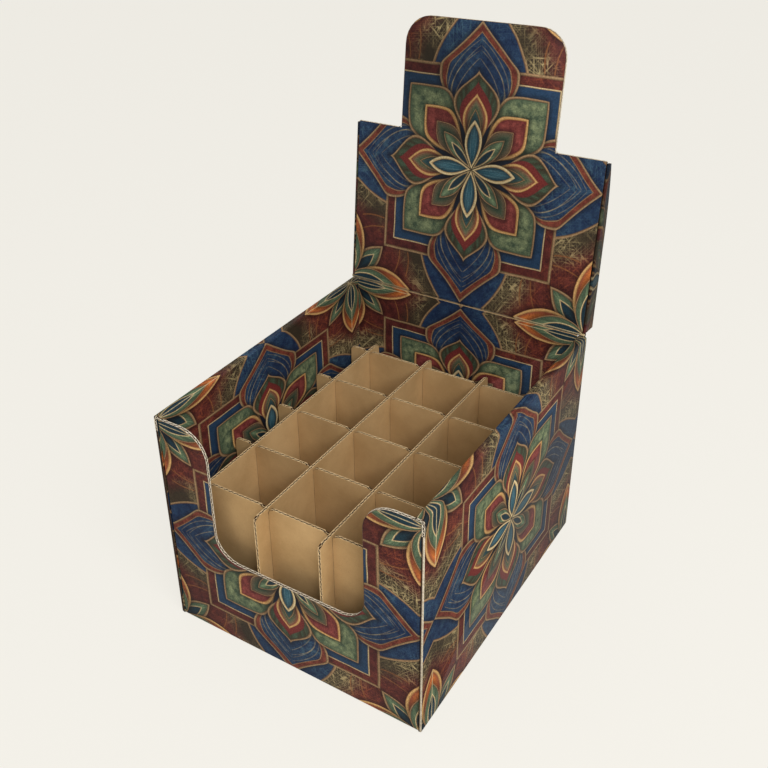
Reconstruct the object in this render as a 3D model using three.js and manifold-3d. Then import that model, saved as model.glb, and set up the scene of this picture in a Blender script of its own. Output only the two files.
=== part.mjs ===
// Counter display box: a folded tray with double side walls and a scooped front,
// a header panel with two side wings, and a slotted kraft divider set.
// Millimetres. X is the width, -Y the front, +Z up. The origin is the middle of
// the underside of the tray.

import * as THREE from 'three';
import { mergeVertices } from 'three/addons/utils/BufferGeometryUtils.js';
import Module from 'manifold-3d';

const wasm = await Module();
wasm.setup();

// Board
const boardThickness = 2.0;
const foldGap = 0.3;
const restGap = 0.3;

// Tray
const trayWidth = 200;
const trayDepth = 237;
const wallHeight = 173;
const rollRadius = 2.0;
const rollInnerRadius = 0.5;
const bottomFoldRadius = 1.2;
const cornerFoldRadius = 1.9;
const endFlapLength = 68;
const endFlapDrop = 2.8;
const lockTabWidth = 34;
const lockTabSpacing = 120;
const lockTabRecess = 0.3;

// Scooped opening in the front wall
const scoopWidth = 118;
const scoopSillHeight = 72;
const scoopFloorRadius = 19;
const scoopShoulderRadius = 21;

// Header panel, measured along the panel from its crease
const headerInset = 0.8;
const headerShoulderHeight = 126;
const headerHeight = 206.5;
const headerLeanDegrees = 5.6;
const creaseStripHeight = 1.2;
const tabWidth = 120.4;
const tabCornerRadius = 19.5;

// Wings along the header's sides, measured from the crease and from their fold
const wingDepthBottom = 14.5;
const wingDepthMiddle = 11.6;
const wingDepthCurve = 10.8;
const wingDepthTop = 3.2;
const wingBottomHeight = 1.7;
const wingMiddleHeight = 62;
const wingCurveHeight = 100;
const wingTopClearance = 1.2;

// Divider set
const dividerThickness = 2.0;
const dividerHeight = 115.2;
const longDividerCount = 4;
const crossDividerCount = 5;
const longEndClearance = 0.8;
const crossEndClearance = 1.9;
const longEndStub = 13.7;
const crossEndStub = 16.5;
const slotClearance = 0.3;
const slotMouthRadius = 3.5;
const dividerCornerRadius = 2.5;

// Roundness of the small arcs
const smallArcSteps = 6;
const largeArcSteps = 16;

// Sizes worked out from those above
const halfWidth = trayWidth / 2;
const halfDepth = trayDepth / 2;
const plyPitch = boardThickness + foldGap;
const sideWallThickness = 2 * plyPitch + boardThickness;
const floorTop = boardThickness;
const endFlapTop = wallHeight - endFlapDrop;
const slotWidth = dividerThickness + 2 * slotClearance;
const headerWidth = trayWidth - 2 * headerInset;
const longDividerLength = trayDepth - 2 * (boardThickness + longEndClearance);
const crossDividerLength = trayWidth - 2 * (sideWallThickness + crossEndClearance);
const cellWidth = (crossDividerLength - 2 * crossEndStub) / (longDividerCount - 1);
const cellDepth = (longDividerLength - 2 * longEndStub) / (crossDividerCount - 1);
const hingeHeight = wallHeight + restGap + boardThickness / 2;
const hingeDepth = halfDepth - boardThickness / 2;

const printedBoard = new THREE.MeshStandardMaterial({ color: 0x3b3a4a, roughness: 0.62, metalness: 0 });
const kraftBoard = new THREE.MeshStandardMaterial({ color: 0xa8854f, roughness: 0.9, metalness: 0 });

// A closed three.js geometry as a manifold solid
function solidFrom(geometry) {
  const bare = geometry.index ? geometry.toNonIndexed() : geometry.clone();
  bare.deleteAttribute('normal');
  bare.deleteAttribute('uv');
  const merged = mergeVertices(bare, 1e-4);
  return new wasm.Manifold(new wasm.Mesh({
    numProp: 3,
    vertProperties: new Float32Array(merged.attributes.position.array),
    triVerts: new Uint32Array(merged.index.array),
  }));
}

// A manifold solid as a named mesh
function meshFrom(name, solid, material) {
  const { numProp, vertProperties, triVerts } = solid.getMesh();
  const positions = new Float32Array(vertProperties.length / numProp * 3);
  for (let v = 0; v < positions.length / 3; v += 1) {
    for (let axis = 0; axis < 3; axis += 1) {
      positions[3 * v + axis] = vertProperties[v * numProp + axis];
    }
  }
  const geometry = new THREE.BufferGeometry();
  geometry.setAttribute('position', new THREE.BufferAttribute(positions, 3));
  geometry.setIndex(new THREE.BufferAttribute(new Uint32Array(triVerts), 1));
  geometry.computeVertexNormals();
  const mesh = new THREE.Mesh(geometry, material);
  mesh.name = name;
  return mesh;
}

// An outline whose corners are rounded: each corner is [a, b, radius]
function roundedShape(corners, arcSteps = smallArcSteps) {
  const points = [];
  corners.forEach(([a, b, radius = 0], i) => {
    const corner = new THREE.Vector2(a, b);
    if (radius <= 0) {
      points.push(corner);
      return;
    }
    const before = corners[(i + corners.length - 1) % corners.length];
    const after = corners[(i + 1) % corners.length];
    const toBefore = new THREE.Vector2(before[0] - a, before[1] - b).normalize();
    const toAfter = new THREE.Vector2(after[0] - a, after[1] - b).normalize();
    const halfAngle = Math.acos(THREE.MathUtils.clamp(toBefore.dot(toAfter), -1, 1)) / 2;
    const bisector = toBefore.clone().add(toAfter).normalize();
    const centre = corner.clone().addScaledVector(bisector, radius / Math.sin(halfAngle));
    const start = corner.clone().addScaledVector(toBefore, radius / Math.tan(halfAngle)).sub(centre);
    const end = corner.clone().addScaledVector(toAfter, radius / Math.tan(halfAngle)).sub(centre);
    const sweep = Math.atan2(start.cross(end), start.dot(end));
    for (let step = 0; step <= arcSteps; step += 1) {
      const turned = start.clone().rotateAround(new THREE.Vector2(), sweep * step / arcSteps);
      points.push(turned.add(centre));
    }
  });
  return new THREE.Shape(points);
}

// A shape drawn in X and Z, given its thickness along Y from yStart to yEnd
function alongY(shape, yStart, yEnd) {
  const geometry = new THREE.ExtrudeGeometry(shape, { depth: yEnd - yStart, bevelEnabled: false });
  geometry.rotateX(Math.PI / 2);
  geometry.translate(0, yEnd, 0);
  return solidFrom(geometry);
}

// A shape drawn in Y and Z, given its thickness along X from xStart to xEnd
function alongX(shape, xStart, xEnd) {
  const geometry = new THREE.ExtrudeGeometry(shape, { depth: xEnd - xStart, bevelEnabled: false });
  geometry.rotateX(Math.PI / 2);
  geometry.rotateZ(Math.PI / 2);
  geometry.translate(xStart, 0, 0);
  return solidFrom(geometry);
}

// A shape drawn in X and Y, given its thickness along Z from zStart to zEnd
function alongZ(shape, zStart, zEnd) {
  const geometry = new THREE.ExtrudeGeometry(shape, { depth: zEnd - zStart, bevelEnabled: false });
  geometry.translate(0, 0, zStart);
  return solidFrom(geometry);
}

function block(xLow, xHigh, yLow, yHigh, zLow, zHigh) {
  const geometry = new THREE.BoxGeometry(xHigh - xLow, yHigh - yLow, zHigh - zLow);
  geometry.translate((xLow + xHigh) / 2, (yLow + yHigh) / 2, (zLow + zHigh) / 2);
  return solidFrom(geometry);
}

// Bottom and both double side walls: one section carried from front to back.
// Each side goes up outside, rolls over the top and comes down inside.
function trayChannel() {
  const outer = halfWidth;
  const outerInside = outer - boardThickness;
  const inner = outer - sideWallThickness;
  const innerOutside = inner + boardThickness;
  const plyEnd = floorTop + restGap;
  const right = [
    [outer, 0, bottomFoldRadius],
    [outer, wallHeight, rollRadius],
    [inner, wallHeight, rollRadius],
    [inner, plyEnd],
    [innerOutside, plyEnd],
    [innerOutside, wallHeight - boardThickness, rollInnerRadius],
    [outerInside, wallHeight - boardThickness, rollInnerRadius],
    [outerInside, floorTop],
  ];
  const left = right.map(([x, z, radius]) => [-x, z, radius]).reverse();
  return alongY(roundedShape([...right, ...left]), -halfDepth, halfDepth);
}

// One end wall with its two flaps, seen from above, standing between the side plies
function endWall(topHeight) {
  const outer = halfWidth - plyPitch;
  const inner = outer - boardThickness;
  const flapEnd = endFlapLength;
  const plan = roundedShape([
    [-outer, 0, cornerFoldRadius],
    [outer, 0, cornerFoldRadius],
    [outer, flapEnd],
    [inner, flapEnd],
    [inner, boardThickness],
    [-inner, boardThickness],
    [-inner, flapEnd],
    [-outer, flapEnd],
  ]);
  const clearOfFloor = floorTop + restGap;
  const flaps = alongZ(plan, clearOfFloor, endFlapTop);
  const panelHalf = halfWidth - sideWallThickness - foldGap;
  const panel = block(-panelHalf, panelHalf, 0, boardThickness, floorTop / 2, topHeight);
  const foot = block(-inner, inner, 0, boardThickness, floorTop / 2, clearOfFloor + restGap);
  return flaps.add(panel).add(foot);
}

// The opening in the front wall: straight sides and sill, rounded floor corners,
// and shoulders that flare out at the top. Drawn as a solid to be cut away.
function scoopCut() {
  const half = scoopWidth / 2;
  const above = wallHeight + boardThickness;
  const shoulder = endFlapTop;
  const reach = half + scoopShoulderRadius;
  const outline = [[-reach, above], [-reach, shoulder]];
  const throat = roundedShape([
    [half, above], [-half, above], [-half, scoopSillHeight, scoopFloorRadius],
    [half, scoopSillHeight, scoopFloorRadius],
  ], largeArcSteps);
  const shoulderArc = new THREE.Shape();
  shoulderArc.moveTo(outline[0][0], outline[0][1]);
  shoulderArc.lineTo(outline[1][0], outline[1][1]);
  for (let step = 1; step <= largeArcSteps; step += 1) {
    const turn = Math.PI / 2 * step / largeArcSteps;
    const x = -reach + scoopShoulderRadius * Math.sin(turn);
    const z = shoulder - scoopShoulderRadius * (1 - Math.cos(turn));
    shoulderArc.lineTo(x, z);
  }
  for (let step = largeArcSteps; step >= 1; step -= 1) {
    const turn = Math.PI / 2 * step / largeArcSteps;
    const x = reach - scoopShoulderRadius * Math.sin(turn);
    const z = shoulder - scoopShoulderRadius * (1 - Math.cos(turn));
    shoulderArc.lineTo(x, z);
  }
  shoulderArc.lineTo(reach, shoulder);
  shoulderArc.lineTo(reach, above);
  const yStart = -halfDepth - boardThickness;
  const yEnd = -halfDepth + boardThickness + foldGap / 2;
  return alongY(throat, yStart, yEnd).add(alongY(shoulderArc, yStart, yEnd));
}

// What is taken off the bottom's front edge so that the fold there is round
function foldRounding() {
  const size = bottomFoldRadius;
  const waste = roundedShape([[0, 0], [size, 0], [size, size], [0, size]]);
  const square = alongX(waste, -halfWidth + plyPitch, halfWidth - plyPitch);
  const roll = new THREE.CylinderGeometry(size, size, trayWidth, 4 * smallArcSteps);
  roll.rotateZ(Math.PI / 2);
  roll.translate(0, size, size);
  return square.subtract(solidFrom(roll));
}

function buildTray() {
  let tray = trayChannel();
  // The inner plies stop short of the end walls, so that the flaps can turn in
  const innerLow = halfWidth - sideWallThickness - foldGap;
  const innerHigh = halfWidth - boardThickness - foldGap / 2;
  const plyShortfall = boardThickness + foldGap;
  const rollUnderside = wallHeight - rollRadius;
  for (const side of [-1, 1]) {
    const xs = [side * innerLow, side * innerHigh].sort((a, b) => a - b);
    for (const end of [-1, 1]) {
      const ys = [end * (halfDepth + foldGap), end * (halfDepth - plyShortfall)].sort((a, b) => a - b);
      tray = tray.subtract(block(xs[0], xs[1], ys[0], ys[1], floorTop, rollUnderside));
    }
    // Lock tabs of the inner ply, and the slots in the bottom that take them
    for (const along of [-lockTabSpacing / 2, lockTabSpacing / 2]) {
      const plyX = side * (halfWidth - sideWallThickness + boardThickness / 2);
      const halfPly = boardThickness / 2;
      const halfTab = lockTabWidth / 2;
      tray = tray.subtract(block(plyX - halfPly - restGap, plyX + halfPly + restGap,
        along - halfTab - restGap, along + halfTab + restGap, -floorTop, floorTop));
      tray = tray.add(block(plyX - halfPly, plyX + halfPly,
        along - halfTab, along + halfTab, lockTabRecess, floorTop + 2 * restGap));
    }
  }
  const front = endWall(endFlapTop).translate([0, -halfDepth, 0]);
  const back = endWall(wallHeight).rotate([0, 0, 180]).translate([0, halfDepth, 0]);
  const rounding = foldRounding();
  tray = tray.add(front).add(back).subtract(scoopCut());
  tray = tray.subtract(rounding.translate([0, -halfDepth, 0]));
  tray = tray.subtract(rounding.rotate([0, 0, 180]).translate([0, halfDepth, 0]));
  return tray;
}

// The header stands in its own frame: X across, Z up along the panel from the
// crease, and Y from its front face to its back face, centred on the crease line.
function buildHeader() {
  const half = headerWidth / 2;
  const inside = half - plyPitch;
  const tab = tabWidth / 2;
  const panelOutline = roundedShape([
    [-half, 0], [half, 0], [half, creaseStripHeight], [inside, creaseStripHeight],
    [inside, headerShoulderHeight], [tab, headerShoulderHeight],
    [tab, headerHeight, tabCornerRadius], [-tab, headerHeight, tabCornerRadius],
    [-tab, headerShoulderHeight], [-inside, headerShoulderHeight],
    [-inside, creaseStripHeight], [-half, creaseStripHeight],
  ], largeArcSteps);
  const panel = alongY(panelOutline, -boardThickness / 2, boardThickness / 2);
  const bead = new THREE.CylinderGeometry(boardThickness / 2, boardThickness / 2, headerWidth, 24);
  bead.rotateZ(Math.PI / 2);
  return panel.add(solidFrom(bead));
}

// A wing in the header's frame, folded straight back from the fold at its front edge
function buildWing(side) {
  const half = boardThickness / 2;
  const top = headerShoulderHeight - wingTopClearance;
  const outline = new THREE.Shape();
  outline.moveTo(0, wingBottomHeight);
  outline.lineTo(wingDepthBottom - half, wingBottomHeight);
  outline.lineTo(wingDepthMiddle - half, wingMiddleHeight);
  outline.quadraticCurveTo(wingDepthCurve - half, wingCurveHeight, wingDepthTop - half, top);
  outline.lineTo(0, top);
  const plate = alongX(outline, -half, half);
  const bead = new THREE.CylinderGeometry(half, half, top - wingBottomHeight, 24);
  bead.rotateX(Math.PI / 2);
  bead.translate(0, 0, (top + wingBottomHeight) / 2);
  return plate.add(solidFrom(bead)).translate([side * (headerWidth / 2 - half), 0, 0]);
}

// A divider drawn in U along its length and Z, with slots for the dividers it
// crosses. slotsUp says whether they open at the top or at the bottom.
function dividerShape(length, crossings, slotsUp) {
  const half = length / 2;
  const halfSlot = slotWidth / 2;
  const slotEnd = dividerHeight / 2 + (slotsUp ? -slotClearance : slotClearance) / 2;
  const corners = [[half, dividerHeight, dividerCornerRadius]];
  const topRun = slotsUp ? [...crossings].reverse() : [];
  for (const at of topRun) {
    corners.push([at + halfSlot, dividerHeight, slotMouthRadius], [at + halfSlot, slotEnd]);
    corners.push([at - halfSlot, slotEnd], [at - halfSlot, dividerHeight, slotMouthRadius]);
  }
  corners.push([-half, dividerHeight, dividerCornerRadius], [-half, 0]);
  const bottomRun = slotsUp ? [] : crossings;
  for (const at of bottomRun) {
    corners.push([at - halfSlot, 0], [at - halfSlot, slotEnd]);
    corners.push([at + halfSlot, slotEnd], [at + halfSlot, 0]);
  }
  corners.push([half, 0]);
  return roundedShape(corners);
}

// Places of a row of count things, pitch apart, centred on zero
function centredRow(count, pitch) {
  return Array.from({ length: count }, (_, i) => (i - (count - 1) / 2) * pitch);
}

const box = new THREE.Group();
box.add(meshFrom('tray', buildTray(), printedBoard));

const headerGroup = new THREE.Group();
headerGroup.position.set(0, hingeDepth, hingeHeight);
headerGroup.rotation.x = -THREE.MathUtils.degToRad(headerLeanDegrees);
headerGroup.add(meshFrom('header', buildHeader(), printedBoard));
headerGroup.add(meshFrom('left_wing', buildWing(-1), printedBoard));
headerGroup.add(meshFrom('right_wing', buildWing(1), printedBoard));
box.add(headerGroup);

const longPlaces = centredRow(longDividerCount, cellWidth);
const crossPlaces = centredRow(crossDividerCount, cellDepth);
const dividers = new THREE.Group();
dividers.position.set(0, 0, floorTop + restGap);
longPlaces.forEach((x, i) => {
  const shape = dividerShape(longDividerLength, crossPlaces, false);
  const solid = alongX(shape, x - dividerThickness / 2, x + dividerThickness / 2);
  dividers.add(meshFrom(`long_divider_${i + 1}`, solid, kraftBoard));
});
crossPlaces.forEach((y, i) => {
  const shape = dividerShape(crossDividerLength, longPlaces, true);
  const solid = alongY(shape, y - dividerThickness / 2, y + dividerThickness / 2);
  dividers.add(meshFrom(`cross_divider_${i + 1}`, solid, kraftBoard));
});
box.add(dividers);

export default box;
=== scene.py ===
import math
import bpy
from mathutils import Matrix, Vector


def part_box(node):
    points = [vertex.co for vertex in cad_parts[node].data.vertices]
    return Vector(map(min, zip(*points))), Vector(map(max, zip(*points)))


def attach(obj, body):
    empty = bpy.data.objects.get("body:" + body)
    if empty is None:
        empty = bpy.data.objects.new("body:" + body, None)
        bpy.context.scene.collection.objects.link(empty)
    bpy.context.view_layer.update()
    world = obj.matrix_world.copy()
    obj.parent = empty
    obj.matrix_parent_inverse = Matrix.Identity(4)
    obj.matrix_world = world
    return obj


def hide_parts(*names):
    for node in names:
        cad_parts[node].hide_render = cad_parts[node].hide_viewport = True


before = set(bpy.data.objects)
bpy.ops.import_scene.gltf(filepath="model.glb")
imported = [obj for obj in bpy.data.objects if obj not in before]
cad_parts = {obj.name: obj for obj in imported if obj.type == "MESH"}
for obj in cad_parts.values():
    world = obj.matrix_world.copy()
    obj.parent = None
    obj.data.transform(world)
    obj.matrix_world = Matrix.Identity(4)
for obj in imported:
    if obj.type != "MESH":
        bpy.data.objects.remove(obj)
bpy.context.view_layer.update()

mm = 0.001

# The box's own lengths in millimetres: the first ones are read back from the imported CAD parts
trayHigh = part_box("tray")[1]
halfWidth = trayHigh[0] / mm
halfDepth = trayHigh[1] / mm
wallHeight = trayHigh[2] / mm
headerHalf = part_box("header")[1][0] / mm
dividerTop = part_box("long_divider_1")[1][2] / mm
board = 2.0                       # thickness of the sheet
sideWall = 6.6                    # a rolled side wall: two plies and the gap between them


def ink(red, green, blue):
    # a printed colour, 0 to 255 a channel, as the shader wants it
    def straight(value):
        value = value / 255
        return value / 12.92 if value <= 0.04045 else ((value + 0.055) / 1.055) ** 2.4
    return (straight(red), straight(green), straight(blue), 1.0)


# Camera

photoCamera = {
    "place": (0.29751, -0.48349, 0.52189),
    "turn": (59.9025, 1.5533, 33.314),
    "lens": 45.794,
    "shift": (0.05314, -0.04564),
}


def placeCamera():
    turn = [math.radians(degrees) for degrees in photoCamera["turn"]]
    bpy.ops.object.camera_add(location=photoCamera["place"], rotation=turn)
    eye = bpy.context.active_object
    eye.name = "photoCamera"
    eye.data.sensor_width = 36
    eye.data.lens = photoCamera["lens"]
    eye.data.shift_x, eye.data.shift_y = photoCamera["shift"]
    eye.data.clip_start = 0.01
    eye.data.dof.use_dof = False
    bpy.context.scene.camera = eye


placeCamera()
print("camera placed")


# Shader building

class Wire:
    # a node's output that can be used in plain sums
    def __init__(self, finish, socket):
        self.finish = finish
        self.socket = socket

    def maths(self, operation, *values, clamp=False):
        inputs = dict(enumerate((self,) + values))
        return self.finish.node("Math", inputs, operation=operation, use_clamp=clamp)

    def __add__(self, other):
        return self.maths("ADD", other)

    def __radd__(self, other):
        return self.maths("ADD", other)

    def __sub__(self, other):
        return self.maths("SUBTRACT", other)

    def __rsub__(self, other):
        return self.finish.node("Math", {0: other, 1: self}, operation="SUBTRACT")

    def __mul__(self, other):
        return self.maths("MULTIPLY", other)

    def __rmul__(self, other):
        return self.maths("MULTIPLY", other)

    def __truediv__(self, other):
        return self.maths("DIVIDE", other)

    def most(self, other):
        return self.maths("MAXIMUM", other)

    def least(self, other):
        return self.maths("MINIMUM", other)

    def size(self):
        return self.maths("ABSOLUTE")

    def power(self, exponent):
        return self.maths("POWER", exponent)

    def fold(self, period):
        return self.maths("PINGPONG", period)

    def clipped(self):
        return self.maths("ADD", 0.0, clamp=True)

    def above(self, edge, soft):
        # 0 below the edge and 1 above it, over a soft width
        return ((self - edge) / soft).clipped()

    def out(self, name):
        # another output of the same node
        return Wire(self.finish, self.socket.node.outputs[name])


class NodeSheet:
    def __init__(self, tree):
        self.tree = tree

    def node(self, kind, inputs=None, output=0, **settings):
        made = self.tree.nodes.new("ShaderNode" + kind)
        for name, value in settings.items():
            setattr(made, name, value)
        for name, value in (inputs or {}).items():
            self.feed(made.inputs[name], value)
        return Wire(self, made.outputs[output])

    def feed(self, socket, value):
        if isinstance(value, Wire):
            self.tree.links.new(value.socket, socket)
        else:
            socket.default_value = value

    def mix(self, factor, under, over, way="MIX"):
        # inputs 6 and 7 and output 2 are the Mix node's colours
        inputs = {0: factor, 6: under, 7: over}
        return self.node("Mix", inputs, output=2, data_type="RGBA", blend_type=way)

    def noise(self, vector, scale, detail=2.0, roughness=0.5):
        inputs = {"Vector": vector, "Scale": scale, "Detail": detail, "Roughness": roughness}
        return self.node("TexNoise", inputs, output="Fac")

    def seenDirectly(self):
        # 1 where the camera, or a mirror or glass in between, looks straight at a surface
        path = self.node("LightPath", output="Is Camera Ray")
        return path.most(path.out("Is Glossy Ray")).most(path.out("Is Transmission Ray"))


class Finish(NodeSheet):
    def __init__(self, name, roughness, specular=0.2):
        self.material = bpy.data.materials.new(name)
        self.material.use_nodes = True
        super().__init__(self.material.node_tree)
        self.shader = self.tree.nodes["Principled BSDF"]
        self.shader.inputs["Roughness"].default_value = roughness
        self.shader.inputs["Specular IOR Level"].default_value = specular

    def colour(self, value):
        self.feed(self.shader.inputs["Base Color"], value)

    def relief(self, height, strength, distance):
        inputs = {"Height": height, "Strength": strength, "Distance": distance}
        bump = self.node("Bump", inputs, output="Normal")
        self.feed(self.shader.inputs["Normal"], bump)


# The ornament printed on the board: one tile a panel, mirrored in both directions
# and along its diagonals, so it is drawn once in an eighth of the tile.
# There a is the larger and b the smaller distance from the middle, 1 at the tile's edge.

inks = {
    "navy": ink(28, 44, 76),
    "navyLight": ink(48, 72, 102),
    "steel": ink(38, 64, 90),
    "burgundy": ink(74, 34, 34),
    "burgundyLight": ink(112, 54, 48),
    "olive": ink(64, 58, 44),
    "scratch": ink(206, 184, 132),
    "ember": ink(196, 104, 62),
    "lineDark": ink(104, 76, 54),
    "line": ink(180, 146, 106),
    "goldDark": ink(160, 102, 60),
    "gold": ink(232, 184, 118),
    "creamDark": ink(170, 138, 92),
    "cream": ink(244, 220, 168),
    "rustDark": ink(98, 48, 40),
    "rust": ink(146, 76, 58),
    "leafDark": ink(76, 92, 72),
    "leaf": ink(124, 144, 108),
    "leafLight": ink(154, 164, 120),
    "crimson": ink(164, 82, 74),
    "crimsonDark": ink(112, 50, 48),
    "redBand": ink(126, 52, 48),
    "orange": ink(222, 126, 60),
    "teal": ink(54, 96, 110),
    "tealDark": ink(34, 56, 66),
    "tealLight": ink(108, 148, 158),
    "shade": ink(20, 14, 16),
}

# An outline's dark sides, its light middle and its width
outlines = {
    "tan": ("lineDark", "line", 0.021),
    "gold": ("goldDark", "gold", 0.026),
    "cream": ("creamDark", "cream", 0.024),
    "fine": ("lineDark", "line", 0.009),
    "bright": ("creamDark", "cream", 0.009),
}

ornament = {
    "soft": 0.005,                # width over which one ink meets the next
    "shadow": 0.045,              # width of the dark rim that lifts a petal off the ground
    "ring": (0.62, 0.70),         # burgundy between these, steel inside
    "ringPoint": 0.64,            # where the ogee is widest
    "ogeeWidth": 0.309,
    "ogeeBand": 0.042,
    "outerWidth": 0.20,           # half width of the outer band at the tile's edge
    "petalRounding": 0.07,
    "ogeeRounding": 0.06,
    "waver": 0.011,               # how far a drawn line strays
    "arcs": ((0.88, 1.40, 2.1), (0.84, 1.20, 1.7), (0.81, 1.48, 2.7), (0.76, 1.05, 1.5)),
}

# Each petal's length, half width, and how full it is near its root and near its tip
petals = {
    "leaf": (0.77, 0.215, 2.0, 1.0),
    "crimson": (0.58, 0.145, 2.1, 1.0),
    "grey": (0.44, 0.092, 1.9, 1.0),
    "tall": (0.69, 0.182, 3.9, 2.0),
    "redBand": (0.61, 0.128, 3.2, 1.7),
    "goldBand": (0.53, 0.10, 2.6, 1.35),
    "coreBand": (0.43, 0.056, 1.8, 1.1),
    "heart": (0.34, 0.056, 1.3, 1.0),
    "heartLine": (0.25, 0.032, 1.3, 1.0),
    "star": (0.35, 0.068, 1.3, 1.0),
    "blade": (0.42, 0.088, 1.1, 1.1),
    "bladeLine": (0.31, 0.05, 1.1, 1.1),
    "flame": (0.56, 0.122, 1.0, 1.0),
    "tongue": (0.43, 0.092, 0.8, 1.0),
    "tongueLine": (0.33, 0.05, 0.9, 1.0),
}

hatching = {"turns": (8, 52, 97, 143), "pitch": 0.026, "length": 0.36, "width": 0.024}
diagonal = 0.7071


def petal(along, across, name, square=False):
    # how far a point lies inside a petal that grows from nought to its length
    length, width, belly, tip = petals[name]
    peak = belly / (belly + tip)
    tallest = peak ** belly * (1 - peak) ** tip
    part = (along / length).clipped()
    profile = part.power(belly) * (1 - part).power(tip) * (width / tallest)
    if square:
        profile = profile.maths("SMOOTH_MIN", length - along, ornament["petalRounding"])
    past = (along - length).most(0.0)
    return profile - across - past


def stripe(value, centre, width):
    # 1 on a thin line where the value is at the centre
    return (1 - (value - centre).size() / width).clipped()


def ridge(finish, under, inside, outline):
    # an outline with dark sides and a light crest, like a raised cord
    dark, light, width = outlines[outline]
    crest = stripe(inside, width * 0.45, width * 0.62)
    tone = finish.mix(crest, inks[dark], inks[light])
    return finish.mix(inside.above(0.0, ornament["soft"]), under, tone)


def layPetal(finish, under, inside, outline, rim, middle, reach):
    # a shadow round the petal, its outline, and its fill from rim to middle
    width = outlines[outline][2]
    shadow = (1 + inside / ornament["shadow"]).clipped()
    under = finish.mix(shadow * 0.6, under, inks["shade"])
    under = ridge(finish, under, inside, outline)
    fill = finish.mix(inside.above(width, reach), rim, middle)
    return finish.mix(inside.above(width, ornament["soft"]), under, fill)


def strokes(finish, tile):
    # thin crossing scratches, one set for each turn in degrees
    found = None
    for turn in hatching["turns"]:
        inputs = {
            "Vector": tile, "Location": (turn, 0, 0), "Rotation": (0, 0, math.radians(turn)),
            "Scale": (hatching["length"], hatching["pitch"], 1),
        }
        turned = finish.node("Mapping", inputs, vector_type="TEXTURE")
        line = stripe(finish.noise(turned, 1.0, detail=0.0), 0.5, hatching["width"])
        found = line if found is None else found.most(line)
    return found


def streaks(finish, along, across):
    # light and dark rays that run out from where petals start
    ray = finish.node("CombineXYZ", {"X": across / (along + 0.04) * 15.0, "Y": along * 2.5})
    return finish.noise(ray, 1.0, detail=1.0)


def groundInk(finish, a, b, grain, scratch):
    # burgundy, turning olive and scratched beside the outer bands of the ogees
    rest = 1 - a
    outer = rest * (0.86 - rest) + ornament["outerWidth"] - b
    beside = (1 + outer / 0.30).clipped()
    ground = finish.mix(grain, inks["burgundy"], inks["burgundyLight"])
    ground = finish.mix(scratch * 0.35, ground, inks["ember"])
    ground = finish.mix(beside.above(0.25, 0.5) * 0.9, ground, inks["olive"])
    ground = finish.mix(scratch * beside.above(0.15, 0.5) * 0.85, ground, inks["scratch"])
    ground = ridge(finish, ground, outer, "tan")
    navy = finish.mix(grain, inks["navy"], inks["navyLight"])
    navy = finish.mix(scratch * 0.3, navy, inks["tealLight"])
    return finish.mix(outer.above(outlines["tan"][2], ornament["soft"]), ground, navy)


def ringInk(finish, ground, a, grain, scratch):
    # a square frame: burgundy, a pale line, then steel
    inner, far = ornament["ring"]
    depth = far - a
    wine = finish.mix(grain, inks["burgundy"], inks["burgundyLight"])
    wine = finish.mix(scratch * 0.25, wine, inks["ember"])
    steel = finish.mix(grain, inks["steel"], inks["navyLight"])
    ground = ridge(finish, ground, depth, "tan")
    ground = finish.mix(depth.above(outlines["tan"][2], ornament["soft"]), ground, wine)
    ground = ridge(finish, ground, depth - (far - inner), "bright")
    return finish.mix(depth.above(far - inner + 0.009, ornament["soft"]), ground, steel)


def ogeeInk(finish, ground, a, b, grain, scratch):
    # a pointed arch on each side: rust band between two lines, navy inside
    rest = 1 - a
    low = (ornament["ringPoint"] - a).most(0.0)
    flank = rest * (0.85 + rest * 0.65)
    widest = ornament["ogeeWidth"] - low * low * 2.8
    edge = flank.maths("SMOOTH_MIN", widest, ornament["ogeeRounding"])
    ogee = edge - b
    shadow = (1 + ogee / ornament["shadow"]).clipped()
    ground = finish.mix(shadow * 0.55, ground, inks["shade"])
    ground = ridge(finish, ground, ogee, "tan")
    line = outlines["tan"][2]
    rust = finish.mix(grain, inks["rustDark"], inks["rust"])
    ground = finish.mix(ogee.above(line, ornament["soft"]), ground, rust)
    band = ogee - (a - 0.46).above(0.0, 0.22) * ornament["ogeeBand"] - line
    ground = ridge(finish, ground, band, "fine")
    navy = finish.mix(grain, inks["navy"], inks["navyLight"])
    navy = finish.mix(scratch * 0.28, navy, inks["tealLight"])
    ground = finish.mix(band.above(0.009, ornament["soft"]), ground, navy)
    inside = band.above(0.012, 0.01)
    for start, rise, fall in ornament["arcs"]:
        fallen = (start - a).most(0.0)
        curve = b - fallen * (rise - fallen * fall)
        drawn = stripe(curve, 0.0, 0.006) * fallen.above(0.0, 0.01) * inside
        ground = finish.mix(drawn * (0.16 + grain * 0.4), ground, inks["scratch"])
    return ground


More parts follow.
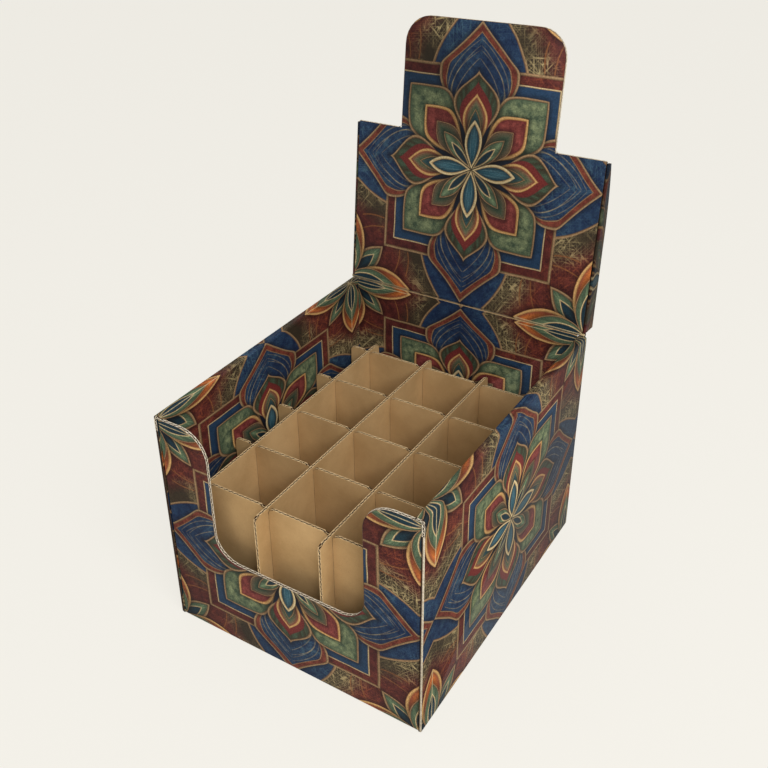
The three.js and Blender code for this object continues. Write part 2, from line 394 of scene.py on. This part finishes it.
def rosetteInk(finish, ground, a, b, grain):
    # petals from the outside in: squarish leaves, crimson, cardinal, then the heart
    soft = ornament["soft"]
    slant = (a + b) * diagonal
    aside = (a - b) * diagonal
    ray = streaks(finish, a, b)
    leafInk = finish.mix(grain, inks["leafDark"], inks["leafLight"])
    leaf = petal(slant, aside, "leaf", square=True)
    ground = layPetal(finish, ground, leaf, "tan", inks["leafDark"], leafInk, 0.05)

    red = petal(slant, aside, "crimson", square=True)
    redInk = finish.mix(grain, inks["crimsonDark"], inks["crimson"])
    ground = layPetal(finish, ground, red, "gold", inks["crimsonDark"], redInk, 0.03)
    grey = petal(slant, aside, "grey", square=True)
    greyInk = finish.mix(0.35, inks["leafDark"], inks["rust"])
    ground = layPetal(finish, ground, grey, "fine", greyInk, inks["leafDark"], 0.05)

    tall = petal(a, b, "tall")
    tallInk = finish.mix(ray.above(0.35, 0.3), inks["leafDark"], inks["olive"])
    ground = layPetal(finish, ground, tall, "tan", inks["olive"], tallInk, 0.03)
    redBand = petal(a, b, "redBand")
    bandInk = finish.mix(redBand.above(0.0, 0.03), inks["crimsonDark"], inks["redBand"])
    ground = finish.mix(redBand.above(0.0, soft), ground, bandInk)
    goldBand = petal(a, b, "goldBand")
    ground = ridge(finish, ground, goldBand, "gold")
    greenBand = finish.mix(goldBand.above(0.022, 0.05), inks["rust"], inks["leaf"])
    ground = finish.mix(goldBand.above(0.02, soft), ground, greenBand)
    coreBand = petal(a, b, "coreBand")
    ground = layPetal(finish, ground, coreBand, "fine", inks["leafDark"], inks["teal"], 0.03)

    heart = petal(slant, aside, "heart")
    heartInk = finish.mix(ray.above(0.4, 0.2), inks["leafDark"], inks["leaf"])
    ground = layPetal(finish, ground, heart, "fine", inks["leafDark"], heartInk, 0.02)
    heartLine = petal(slant, aside, "heartLine")
    ground = ridge(finish, ground, heartLine, "bright")
    ground = finish.mix(heartLine.above(0.009, soft), ground, inks["tealDark"])

    star = petal(a, b, "star") / (a * 1.9 + 0.45)
    core = finish.mix(ray.above(0.42, 0.2), inks["teal"], inks["tealLight"])
    return layPetal(finish, ground, star, "cream", inks["tealDark"], core, 0.05)


def cornerInk(finish, ground, p, q, grain):
    # the flower that four tiles share; p and q are distances from the tile's edges
    soft = ornament["soft"]
    slant = (p + q) * diagonal
    aside = (q - p) * diagonal
    ray = streaks(finish, q, p)
    for reach, rise in ((0.34, 0.75), (0.47, 0.55)):
        bow = q - p * (rise - p * 1.3)
        arc = stripe(bow, reach, 0.008) * p.above(0.09, 0.01) * (0.30 - p).above(0.0, 0.01)
        ground = finish.mix(arc * 0.8, ground, inks["goldDark"])
    green = finish.mix(ray.above(0.36, 0.3), inks["leafDark"], inks["leaf"])
    blade = petal(slant, aside, "blade")
    ground = layPetal(finish, ground, blade, "tan", inks["leafDark"], green, 0.03)
    inner = petal(slant, aside, "bladeLine")
    ground = ridge(finish, ground, inner, "bright")
    ground = finish.mix(inner.above(0.009, soft), ground, inks["tealDark"])

    flame = petal(q, p, "flame")
    flameInk = finish.mix(q.above(0.16, 0.3), inks["rust"], inks["orange"])
    ground = layPetal(finish, ground, flame, "gold", inks["rust"], flameInk, 0.03)
    tongue = petal(q, p, "tongue")
    ground = layPetal(finish, ground, tongue, "fine", inks["leafDark"], green, 0.04)
    inner = petal(q, p, "tongueLine")
    ground = ridge(finish, ground, inner, "bright")
    ground = finish.mix(inner.above(0.009, soft), ground, inks["tealDark"])
    vein = stripe(p, 0.0, 0.006) * (0.55 - q).above(0.0, 0.02)
    return finish.mix(vein * 0.8, ground, inks["cream"])


# Where the sheet is creased, in millimetres: along the header's foot and up its two sides
creases = {"fromBack": 4, "overWall": 0.5, "width": 1.1, "fromSide": 0.9, "sideFoot": 1}


def printedBoard(name, depth=1.0, folds=True):
    # depth below 1 darkens the whole print as painted shade
    finish = Finish(name, roughness=0.6, specular=0.12)
    place = finish.node("TexCoord", output="Object")
    tile = finish.node("UVMap", uv_map="ornament")
    ends = finish.node("SeparateXYZ", {"Vector": tile})
    waver = (finish.noise(place, 50.0, detail=1.0) - 0.5) * ornament["waver"]
    speck = finish.noise(place, 1500.0, detail=3.0, roughness=0.7)
    mottle = finish.noise(place, 170.0, detail=4.0, roughness=0.68)
    cloud = finish.noise(place, 22.0, detail=2.0)
    scratch = strokes(finish, tile) * cloud.above(0.36, 0.2)
    u = (ends.out("X") + waver).size().fold(1.0)
    v = (ends.out("Y") + waver).size().fold(1.0)
    a = u.most(v)
    b = u.least(v)
    grain = mottle.above(0.38, 0.3)

    picture = groundInk(finish, a, b, grain, scratch)
    picture = ringInk(finish, picture, a, grain, scratch)
    picture = ogeeInk(finish, picture, a, b, grain, scratch)
    picture = rosetteInk(finish, picture, a, b, grain)
    picture = cornerInk(finish, picture, 1 - a, 1 - b, grain)

    # paper grain, soft clouds, and the pale cracked line where the board is creased
    grit = finish.mix(speck.above(0.36, 0.28), ink(138, 138, 138), ink(255, 255, 255))
    picture = finish.mix(0.75, picture, grit, way="MULTIPLY")
    shade = finish.mix(cloud.above(0.3, 0.4), ink(206, 206, 206), ink(255, 255, 255))
    picture = finish.mix(0.6, picture, shade, way="MULTIPLY")
    # painted shade: the whole print multiplied darker, used for the wings' folded-back faces
    if depth < 1:
        tone = ink(255 * depth, 255 * depth, 255 * depth)
        picture = finish.mix(1.0, picture, tone, way="MULTIPLY")
    if folds:
        spot = finish.node("SeparateXYZ", {"Vector": place})
        atBack = spot.out("Y").above((halfDepth - creases["fromBack"]) * mm, 0.0005)
        crack = stripe(spot.out("Z"), (wallHeight + creases["overWall"]) * mm, creases["width"] * mm)
        crack = crack * atBack
        fold = spot.out("X").size().above((headerHalf - creases["fromSide"]) * mm, 0.0003)
        fold = fold * spot.out("Z").above((wallHeight + creases["sideFoot"]) * mm, 0.0005)
        worn = crack.most(fold) * mottle.above(0.34, 0.2)
        picture = finish.mix(worn * 0.6, picture, ink(206, 190, 160))
    finish.colour(picture)
    finish.relief(speck * 0.5 + mottle, 0.25, 0.0004)
    return finish.material


def printedSkin():
    # the printed face seen edge on beside a cut
    finish = Finish("printedSkin", roughness=0.7, specular=0.1)
    place = finish.node("TexCoord", output="Object")
    blot = finish.noise(place, 60.0, detail=2.0)
    finish.colour(finish.mix(blot.above(0.35, 0.3), ink(52, 44, 50), ink(104, 76, 60)))
    return finish.material


def rawEdge():
    # liners and flutes of the printed board, cut through
    finish = Finish("rawEdge", roughness=0.85)
    place = finish.node("TexCoord", output="Object")
    fibre = finish.noise(place, 900.0, detail=2.0)
    finish.colour(finish.mix(fibre.above(0.3, 0.4), ink(196, 182, 156), ink(238, 228, 208)))
    finish.relief(fibre, 0.3, 0.0003)
    return finish.material


# The rolled side walls' ends: the open flutes stop 12 below the top, and the rest is pressed shut
rolledEnd = {"bend": 1.0, "innerEnd": 2.1, "fluted": 12, "pressed": 1.4}


def shadedFluteHollow():
    # painted shade: the inside between two liners is coloured dark, as it looks in shade; pressed
    # shut and pale down the right upright ends
    finish = Finish("shadedFluteHollow", roughness=0.95, specular=0.1)
    place = finish.node("TexCoord", output="Object")
    spot = finish.node("SeparateXYZ", {"Vector": place})
    fibre = finish.noise(place, 700.0, detail=2.0)
    # painted shade for the open flute hollows
    dark = finish.mix(fibre, ink(40, 28, 22), ink(76, 58, 44))
    paper = finish.mix(fibre.above(0.3, 0.4), ink(172, 158, 134), ink(218, 206, 184))
    upright = ((wallHeight - rolledEnd["fluted"]) * mm - spot.out("Z")).above(0.0, 0.0002)
    pressed = spot.out("X").above((halfWidth - rolledEnd["pressed"]) * mm, 0.0002) * upright
    finish.colour(finish.mix(pressed, dark, paper))
    return finish.material


def plainBoard():
    finish = Finish("plainBoard", roughness=0.85)
    place = finish.node("TexCoord", output="Object")
    cloud = finish.noise(place, 40.0, detail=4.0)
    fibre = finish.noise(place, 900.0, detail=2.0)
    tone = finish.mix(cloud.above(0.3, 0.4), ink(172, 140, 96), ink(192, 158, 112))
    finish.colour(finish.mix(fibre.above(0.62, 0.1) * 0.3, tone, ink(130, 100, 62)))
    finish.relief(fibre, 0.2, 0.0003)
    return finish.material


def kraftBoard(name, through):
    # bare brown board, with painted shade in the flutes along its cut edges; through is its thin
    # axis
    finish = Finish(name, roughness=0.88)
    place = finish.node("TexCoord", output="Object")
    facing = finish.node("SeparateXYZ", {"Vector": finish.node("TexCoord", output="Normal")})
    cloud = finish.noise(place, 26.0, detail=5.0, roughness=0.6)
    fibre = finish.noise(place, 1100.0, detail=3.0, roughness=0.6)
    tone = finish.mix(cloud.above(0.32, 0.36), ink(172, 138, 92), ink(196, 161, 113))
    tone = finish.mix(fibre.above(0.60, 0.12) * 0.35, tone, ink(138, 106, 64))
    tone = finish.mix((0.36 - fibre).above(0.0, 0.1) * 0.4, tone, ink(212, 180, 130))
    # painted shade: the faces across the cut edges are dark, as the flute hollows look in shade
    fluteShade = (0.6 - facing.out(through).size()).above(0.0, 0.1)
    finish.colour(finish.mix(fluteShade, tone, ink(44, 30, 18)))
    finish.relief(fibre + cloud * 2.0, 0.25, 0.0004)
    return finish.material


def kraftEdge():
    finish = Finish("kraftEdge", roughness=0.9)
    place = finish.node("TexCoord", output="Object")
    fibre = finish.noise(place, 900.0, detail=2.0)
    finish.colour(finish.mix(fibre.above(0.3, 0.4), ink(190, 158, 112), ink(236, 208, 162)))
    return finish.material


stocks = {
    "print": printedBoard("printedBoard"),
    # the wings get a darker copy of the print: painted shade
    "wing": printedBoard("shadedPrint", depth=0.6, folds=False),
    "hollow": shadedFluteHollow(),
    "plain": plainBoard(),
}
edgePaper = rawEdge()
skinPaper = printedSkin()
kraftPapers = {"long": kraftBoard("kraftLong", "X"), "cross": kraftBoard("kraftCross", "Y")}
kraftRim = kraftEdge()
print("materials mixed")


# Dressed copies of the printed board

lean = math.radians(5.6)
crease = Vector((0, halfDepth - board / 2, wallHeight + 0.3 + board / 2))
headerUp = Vector((0, math.sin(lean), math.cos(lean)))
headerBack = Vector((0, math.cos(lean), -math.sin(lean)))

# Middle and half size of each panel's tile, in millimetres across and up
tiles = {
    "front": ((-0.75, 81.5), (101, 86)),
    "back": ((0, 85.5), (99.5, 85)),
    "right": ((3.5, 87.2), (109, 95)),
    "left": ((-7.5, 91), (113, 83)),
    "header": ((-1.2, 104), (99.5, 103.5)),
    "wing": ((16, 40), (60, 103.5)),
}


def onTile(name, across, up):
    (midAcross, midUp), (halfAcross, halfUp) = tiles[name]
    return ((across - midAcross) / halfAcross, (up - midUp) / halfUp)


def overTheTop(x, z):
    # how far along the sheet a point of a side wall lies: up outside, over, down inside
    outwards = halfWidth - abs(x)
    if outwards < sideWall / 2:
        return z + outwards
    return wallHeight + outwards + (wallHeight - z)


def trayTile(corner, facing):
    x, y, z = corner
    sideOn = abs(facing.y) < 0.5 and abs(x) > halfWidth - sideWall - 0.2
    if sideOn and x > 0:
        return onTile("right", y, overTheTop(x, z))
    if sideOn:
        up = overTheTop(x, z)
        return onTile("left", y, 2 * wallHeight + sideWall - up)
    return onTile("front" if y < 0 else "back", x, z)


def headerTile(corner, facing):
    place = corner - crease
    return onTile("header", place.x, place.dot(headerUp))


def wingTile(corner, facing):
    place = corner - crease
    return onTile("wing", place.dot(headerBack), place.dot(headerUp))


# How far in from the outside the tray's cut and unprinted faces reach, in millimetres
cuts = {"ply": 2.1, "roll": 2.5, "scoopSide": 2.3, "scoopFoot": 60, "inside": 3, "underside": 1}


def trayStock(middle, facing):
    # which of the board's finishes a face of the tray shows
    x, y, z = abs(middle.x), abs(middle.y), middle.z
    innerFace = halfWidth - sideWall
    atEnd = abs(facing.y) > 0.9 and y > halfDepth - 0.05 and x > innerFace - 0.1
    if atEnd and (x > halfWidth - cuts["ply"] or z > wallHeight - cuts["roll"]):
        return "hollow"
    inFront = middle.y < -halfDepth + board + 0.1 and x < innerFace + cuts["scoopSide"]
    if inFront and abs(facing.y) < 0.3 and z > cuts["scoopFoot"]:
        return "hollow"
    if facing.z > 0.9 and (z < cuts["inside"] or y > halfDepth - board and x < innerFace):
        return "plain"
    if facing.z < -0.9 and z < cuts["underside"]:
        return "plain"
    return "print"


def headerStock(middle, facing):
    return "print" if abs(facing.dot(headerBack)) > 0.5 else "hollow"


def wingStock(middle, facing):
    return "wing" if abs(facing.x) > 0.5 or facing.y < -0.5 else "hollow"


def selectOnly(piece):
    bpy.ops.object.select_all(action="DESELECT")
    piece.select_set(True)
    bpy.context.view_layer.objects.active = piece


def dress(node, name, body, tileOf, stockOf):
    piece = bpy.data.objects.new(name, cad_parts[node].data.copy())
    bpy.context.scene.collection.objects.link(piece)
    selectOnly(piece)
    bpy.ops.object.mode_set(mode="EDIT")
    bpy.ops.mesh.select_all(action="SELECT")
    bpy.ops.mesh.remove_doubles(threshold=0.00001)
    bpy.ops.object.mode_set(mode="OBJECT")
    sheet = piece.data
    shown = [stockOf(face.center / mm, face.normal) for face in sheet.polygons]
    order = [stock for stock in stocks if stock in shown]
    sheet.materials.clear()
    for stock in order:
        sheet.materials.append(stocks[stock])
    uvs = sheet.uv_layers.get("ornament") or sheet.uv_layers.new(name="ornament")
    for face, stock in zip(sheet.polygons, shown):
        face.material_index = order.index(stock)
        for loop in face.loop_indices:
            corner = sheet.vertices[sheet.loops[loop].vertex_index].co / mm
            uvs.data[loop].uv = tileOf(corner, face.normal)
    bpy.ops.object.shade_smooth_by_angle(angle=math.radians(28))
    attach(piece, body)
    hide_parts(node)
    return piece


dress("tray", "printed_tray", "tray", trayTile, trayStock)
dress("header", "printed_header", "header", headerTile, headerStock)
dress("left_wing", "printed_left_wing", "left_wing", wingTile, wingStock)
dress("right_wing", "printed_right_wing", "right_wing", wingTile, wingStock)
print("board dressed")


# Dividers keep their CAD shape

for nodeName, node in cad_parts.items():
    if "divider" in nodeName:
        node.data.materials.clear()
        node.data.materials.append(kraftPapers[nodeName.split("_")[0]])
print("dividers finished")


# Cut edges: two liners and the wave between them, laid along the open edges of the tray, the header
# and the dividers

flutes = {
    "pitch": 4.2,
    "proud": 0.3,
    "liner": 0.3,
    "wave": 0.24,
    "steps": 12,
    "steep": 0.6,
}


def selectEdgeAt(piece, x):
    selectOnly(piece)
    bpy.ops.object.mode_set(mode="EDIT")
    bpy.ops.mesh.select_mode(type="EDGE")
    bpy.ops.mesh.select_all(action="DESELECT")
    bpy.ops.object.mode_set(mode="OBJECT")
    for edge in piece.data.edges:
        ends = [piece.data.vertices[index].co.x for index in edge.vertices]
        edge.select = all(abs(end - x) < 0.001 for end in ends)
    bpy.ops.object.mode_set(mode="EDIT")


def addStrip(length, y, width):
    bpy.ops.object.select_all(action="DESELECT")
    bpy.ops.mesh.primitive_plane_add(size=1, location=(length / 2, y, 0))
    strip = bpy.context.active_object
    strip.scale = (length, width, 1)
    bpy.ops.object.transform_apply(location=True, rotation=True, scale=True)
    return strip


def fluteCell(turned, paper, skin):
    # one pitch of cut board along X; its thickness is across Y, and then across Z where turned
    pitch, steps, liner = flutes["pitch"], flutes["steps"], flutes["liner"]
    reach = board / 2 - liner
    liners = [addStrip(pitch, side * (board - liner) / 2, liner) for side in (-1, 1)]
    wave = addStrip(pitch / steps, reach, flutes["wave"])
    for number in range(1, steps):
        selectEdgeAt(wave, number * pitch / steps)
        bpy.ops.mesh.extrude_region_move(TRANSFORM_OT_translate={"value": (pitch / steps, 0, 0)})
        bpy.ops.object.mode_set(mode="OBJECT")
    swing = reach - flutes["wave"] / 2
    for corner in wave.data.vertices:
        height = math.cos(2 * math.pi * corner.co.x / pitch)
        corner.co.y += swing * math.copysign(abs(height) ** flutes["steep"], height) - reach
    selectOnly(wave)
    for liner in liners:
        liner.select_set(True)
    bpy.ops.object.join()
    cell = bpy.context.active_object
    cell.name = "fluteCell"
    bpy.ops.object.mode_set(mode="EDIT")
    bpy.ops.mesh.select_all(action="SELECT")
    bpy.ops.mesh.extrude_region_move(TRANSFORM_OT_translate={"value": (0, 0, flutes["proud"])})
    bpy.ops.mesh.select_all(action="SELECT")
    bpy.ops.mesh.normals_make_consistent(inside=False)
    bpy.ops.mesh.select_mode(type="FACE")
    bpy.ops.mesh.select_all(action="DESELECT")
    bpy.ops.object.mode_set(mode="OBJECT")
    cell.data.materials.append(paper)
    cell.data.materials.append(skin)
    for face in cell.data.polygons:
        face.material_index = 1 if abs(face.center.y) > board / 2 - 0.01 else 0
        fromEnd = min(face.center.x, pitch - face.center.x)
        face.select = abs(face.normal.x) > 0.9 and fromEnd < 0.001
    bpy.ops.object.mode_set(mode="EDIT")
    bpy.ops.mesh.delete(type="ONLY_FACE")
    bpy.ops.object.mode_set(mode="OBJECT")
    if turned:
        cell.rotation_euler = (math.radians(-90), 0, 0)
        bpy.ops.object.transform_apply(location=True, rotation=True, scale=True)
    return cell


def rounded(corners, steps=8):
    # the points of a route whose corners are (across, up, radius)
    points = []
    for index, (across, up, radius) in enumerate(corners):
        corner = Vector((across, up))
        if radius <= 0:
            points.append(corner)
            continue
        before = (Vector(corners[index - 1][:2]) - corner).normalized()
        after = (Vector(corners[index + 1][:2]) - corner).normalized()
        half = before.angle(after) / 2
        middle = corner + (before + after).normalized() * (radius / math.sin(half))
        first = corner + before * (radius / math.tan(half)) - middle
        last = corner + after * (radius / math.tan(half)) - middle
        sweep = first.angle_signed(last)
        for step in range(steps + 1):
            turned = first.copy()
            turned.rotate(Matrix.Rotation(-sweep * step / steps, 2))
            points.append(middle + turned)
    return points


def layFlutes(cell, points, across, up, origin, name):
    # repeats the cell along a flat route, then stands it where the edge is
    route = bpy.data.curves.new(name + "Route", "CURVE")
    route.dimensions = "2D"
    spline = route.splines.new("POLY")
    spline.points.add(len(points) - 1)
    for knot, point in zip(spline.points, points):
        knot.co = (point.x, point.y, 0, 1)
    guide = bpy.data.objects.new(name + "Route", route)
    bpy.context.scene.collection.objects.link(guide)
    strip = bpy.data.objects.new(name, cell.data.copy())
    bpy.context.scene.collection.objects.link(strip)
    selectOnly(strip)
    length = sum((points[i + 1] - points[i]).length for i in range(len(points) - 1))
    count = max(1, round(length / flutes["pitch"]))
    row = strip.modifiers.new("row", "ARRAY")
    row.use_relative_offset = False
    row.use_constant_offset = True
    row.constant_offset_displace = (flutes["pitch"], 0, 0)
    row.count = count
    row.use_merge_vertices = True
    row.merge_threshold = 0.001
    bend = strip.modifiers.new("bend", "CURVE")
    bend.object = guide
    bpy.ops.object.modifier_apply(modifier="row")
    bpy.ops.object.mode_set(mode="EDIT")
    bpy.ops.mesh.select_all(action="SELECT")
    bpy.ops.mesh.fill_holes(sides=4)
    bpy.ops.object.mode_set(mode="OBJECT")
    for corner in strip.data.vertices:
        corner.co.x *= length / (count * flutes["pitch"])
    bpy.ops.object.modifier_apply(modifier="bend")
    stand = Matrix((across, up, across.cross(up))).transposed().to_4x4()
    strip.matrix_world = Matrix.Translation(origin * mm) @ stand @ Matrix.Scale(mm, 4)
    bpy.ops.object.transform_apply(location=True, rotation=True, scale=True)
    bpy.data.objects.remove(guide)
    return strip


def gather(strips, name, body):
    selectOnly(strips[0])
    for strip in strips:
        strip.select_set(True)
    bpy.ops.object.join()
    piece = bpy.context.active_object
    piece.name = name
    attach(piece, body)
    return piece


right, deep, up = Vector((1, 0, 0)), Vector((0, 1, 0)), Vector((0, 0, 1))
standing = fluteCell(True, edgePaper, skinPaper)
lying = fluteCell(False, edgePaper, skinPaper)

scoop = {"half": 59, "sill": 72, "floorRadius": 19, "shoulder": 21, "top": 170.2}


def scoopRoute():
    half, top = scoop["half"], scoop["top"]
    left = [
        (-halfWidth + 4.2, top, 0), (-half, top, scoop["shoulder"]),
        (-half, scoop["sill"], scoop["floorRadius"]),
    ]
    return rounded(left + [(-x, z, radius) for x, z, radius in reversed(left)], steps=12)


def rolledEndRoute(side):
    # up the outer ply, over the fold and just down the inner ply
    outer = side * (halfWidth - board / 2)
    inner = side * (halfWidth - sideWall + board / 2)
    top = wallHeight - board / 2
    return rounded([
        (outer, wallHeight - rolledEnd["fluted"], 0), (outer, top, rolledEnd["bend"]),
        (inner, top, rolledEnd["bend"]), (inner, wallHeight - rolledEnd["innerEnd"], 0),
    ])


frontMiddle = Vector((0, -halfDepth + board / 2, 0))
trayStrips = [layFlutes(standing, scoopRoute(), right, up, frontMiddle, "scoop")]
for side in (-1, 1):
    for end in (-1, 1):
        across = right if end < 0 else -right
        route = rolledEndRoute(side if end < 0 else -side)
        origin = Vector((0, end * halfDepth, 0))
        trayStrips.append(layFlutes(lying, route, across, up, origin, "rolledEnd"))
gather(trayStrips, "tray_cut_edges", "tray")

card = {"half": 96.9, "shoulder": 126, "tab": 60.2, "top": 206.5, "tabRadius": 19.5}


def headerRoute():
    left = [
        (-card["half"], card["shoulder"], 0), (-card["tab"], card["shoulder"], 0),
        (-card["tab"], card["top"], card["tabRadius"]),
    ]
    return rounded(left + [(-x, z, radius) for x, z, radius in reversed(left)], steps=12)


headerStrip = layFlutes(standing, headerRoute(), right, headerUp, crease, "headerEdge")
gather([headerStrip], "header_cut_edges", "header")

kraft = {"bottom": 2.3, "corner": 2.5, "mouth": 3.5, "slot": 1.3, "mouthDrop": 6}
longCell = fluteCell(True, kraftRim, kraftPapers["long"])
crossCell = fluteCell(True, kraftRim, kraftPapers["cross"])
kraftStrips = []
crossings = []
for number in range(1, 5):
    low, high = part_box("long_divider_%d" % number)
    x = (low[0] + high[0]) / 2 / mm
    crossings.append(x)
    start, stop = low[1] / mm, high[1] / mm
    route = rounded([
        (start, kraft["bottom"], 0), (start, dividerTop, kraft["corner"]),
        (stop, dividerTop, kraft["corner"]), (stop, kraft["bottom"], 0),
    ])
    kraftStrips.append(layFlutes(longCell, route, deep, up, Vector((x, 0, 0)), "longEdge"))
for number in range(1, 6):
    low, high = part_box("cross_divider_%d" % number)
    y = (low[1] + high[1]) / 2 / mm
    stops = [low[0] / mm] + crossings + [high[0] / mm]
    for index in range(len(stops) - 1):
        atStart, atEnd = index == 0, index == len(stops) - 2
        start = stops[index] + (0 if atStart else kraft["slot"])
        stop = stops[index + 1] - (0 if atEnd else kraft["slot"])
        mouthFoot = dividerTop - kraft["mouthDrop"]
        route = rounded([
            (start, kraft["bottom"] if atStart else mouthFoot, 0),
            (start, dividerTop, kraft["corner"] if atStart else kraft["mouth"]),
            (stop, dividerTop, kraft["corner"] if atEnd else kraft["mouth"]),
            (stop, kraft["bottom"] if atEnd else mouthFoot, 0),
        ])
        kraftStrips.append(layFlutes(crossCell, route, right, up, Vector((0, y, 0)), "crossEdge"))
gather(kraftStrips, "divider_cut_edges", "tray")
for cell in (standing, lying, longCell, crossCell):
    bpy.data.objects.remove(cell)
print("cut edges laid")


# Floor, light and background

studio = {
    "paper": ink(243, 240, 232),
    "floor": 12,
    "shown": 0.88,                # share of the floor that the camera sees unlit
    "below": 0.0005,              # keeps the floor off the tray's underside
    "world": 0.56,
    "key": 17.5,
    "keyPlace": (0.85, -0.60, 1.15),
    "keySize": 0.8,
}


def layFloor():
    bpy.ops.object.select_all(action="DESELECT")
    bpy.ops.mesh.primitive_plane_add(size=studio["floor"], location=(0, 0, -studio["below"]))
    floor = bpy.context.active_object
    bpy.ops.object.transform_apply(location=True, rotation=True, scale=True)
    floor.name = "paleFloor"
    finish = Finish("floorPaper", roughness=1.0, specular=0.0)
    finish.colour(studio["paper"])
    glow = finish.node("Emission", {"Color": studio["paper"], "Strength": 1.0})
    lit = Wire(finish, finish.shader.outputs[0])
    share = finish.seenDirectly() * studio["shown"]
    shown = finish.node("MixShader", {0: share, 1: lit, 2: glow})
    finish.feed(finish.tree.nodes["Material Output"].inputs["Surface"], shown)
    floor.data.materials.append(finish.material)


def hangLights():
    world = bpy.data.worlds.new("studio")
    bpy.context.scene.world = world
    world.use_nodes = True
    sheet = NodeSheet(world.node_tree)
    sky = sheet.node("Background", {"Color": (1, 1, 1, 1), "Strength": studio["world"]})
    backdrop = sheet.node("Background", {"Color": studio["paper"], "Strength": 1.0})
    shown = sheet.node("MixShader", {0: sheet.seenDirectly(), 1: sky, 2: backdrop})
    sheet.feed(world.node_tree.nodes["World Output"].inputs["Surface"], shown)
    bpy.ops.object.light_add(type="AREA", location=studio["keyPlace"])
    key = bpy.context.active_object
    key.name = "softKey"
    key.data.energy = studio["key"]
    key.data.size = studio["keySize"]
    aim = Vector((0, 0, 0.1)) - Vector(studio["keyPlace"])
    key.rotation_euler = aim.to_track_quat("-Z", "Y").to_euler()


layFloor()
hangLights()
bpy.context.scene.view_settings.view_transform = "Standard"
print("floor and light ready")
